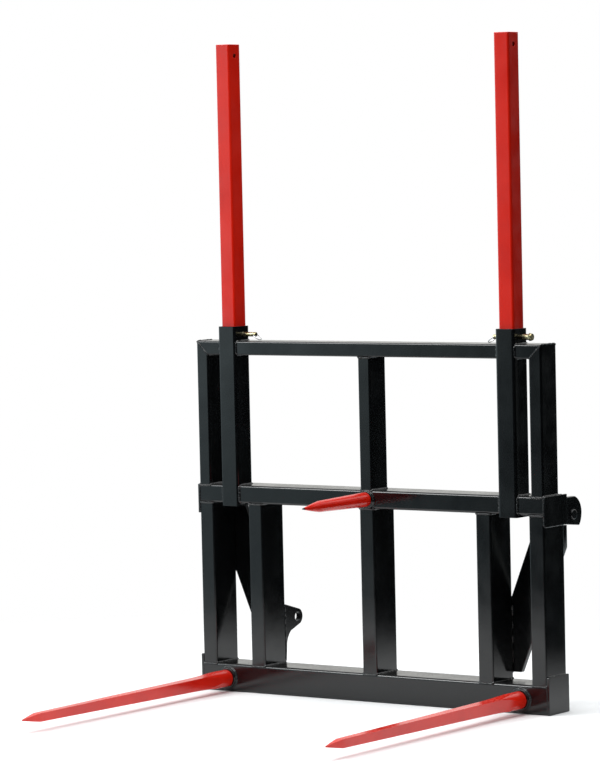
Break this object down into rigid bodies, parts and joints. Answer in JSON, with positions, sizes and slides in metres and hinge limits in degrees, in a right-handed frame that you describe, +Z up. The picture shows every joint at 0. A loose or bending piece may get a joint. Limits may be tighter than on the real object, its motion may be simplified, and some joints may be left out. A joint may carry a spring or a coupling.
{
  "type": "bale fork loader attachment",
  "caption": "Front-loader bale fork: welded box-section frame with long tapered tines, a short centre spike, raised guard posts locked by pull-out pins, and rear hitch brackets",
  "frame": {"origin": "centre of the bottom rail's underside, on the ground plane", "axes": "+Z up along the guard posts; -Y the way the tines point; +X to the right of someone who stands in front of the tines and faces the frame"},
  "size_m": [1.472, 1.4062, 2.317],
  "materials": {
    "black_paint": "gloss",
    "red_paint": "gloss",
    "yellow_zinc": "yellow zinc plate",
    "zinc_steel": "bright zinc plate"
  },
  "bodies": {
    "frame": {"bottom_rail": "black_paint", "foot_plate_left": "black_paint", "foot_plate_right": "black_paint", "lower_upright_left_outer": "black_paint", "lower_upright_left_inner": "black_paint", "lower_upright_centre": "black_paint", "lower_upright_right_inner": "black_paint", "lower_upright_right_outer": "black_paint", "mid_rail": "black_paint", "mid_end_plate_left": "black_paint", "mid_end_plate_right": "black_paint", "top_rail": "black_paint", "upper_upright_left": "black_paint", "upper_upright_centre": "black_paint", "upper_upright_right": "black_paint", "sleeve_left": "black_paint", "sleeve_right": "black_paint", "tine_socket_left": "black_paint", "tine_socket_right": "black_paint", "spike_socket": "black_paint", "hitch_cheek_left": "black_paint", "hitch_cheek_right": "black_paint", "hitch_pin_left": "black_paint", "hitch_pin_right": "black_paint", "gusset_left": "black_paint", "gusset_right": "black_paint", "hitch_ear_left": "black_paint", "hitch_ear_right": "black_paint", "tine_left": "red_paint", "tine_right": "red_paint", "centre_spike": "red_paint", "tine_washers": "zinc_steel", "tine_nuts": "zinc_steel", "spike_washer": "zinc_steel", "spike_nut": "zinc_steel"},
    "guard_post_left": {"post_left": "red_paint", "post_cap_left": "red_paint"},
    "locking_pin_left": {"pin_left": "yellow_zinc", "pin_ring_left": "zinc_steel"},
    "guard_post_right": {"post_right": "red_paint", "post_cap_right": "red_paint"},
    "locking_pin_right": {"pin_right": "yellow_zinc", "pin_ring_right": "zinc_steel"}
  },
  "joints": [
    {"name": "post_slide_left", "type": "slide", "parent": "frame", "child": "guard_post_left", "axis": [0, 0, 1], "range_m": [-0.992, 0]},
    {"name": "pin_draw_left", "type": "slide", "parent": "frame", "child": "locking_pin_left", "axis": [-1, 0, 0], "range_m": [0, 1.24]},
    {"name": "post_slide_right", "type": "slide", "parent": "frame", "child": "guard_post_right", "axis": [0, 0, 1], "range_m": [-0.992, 0]},
    {"name": "pin_draw_right", "type": "slide", "parent": "frame", "child": "locking_pin_right", "axis": [1, 0, 0], "range_m": [0, 1.24]}
  ],
  "couplings": [
    {"joint": "pin_draw_left", "follows": "post_slide_left", "ratio": -1.25},
    {"joint": "pin_draw_right", "follows": "post_slide_right", "ratio": -1.25}
  ]
}
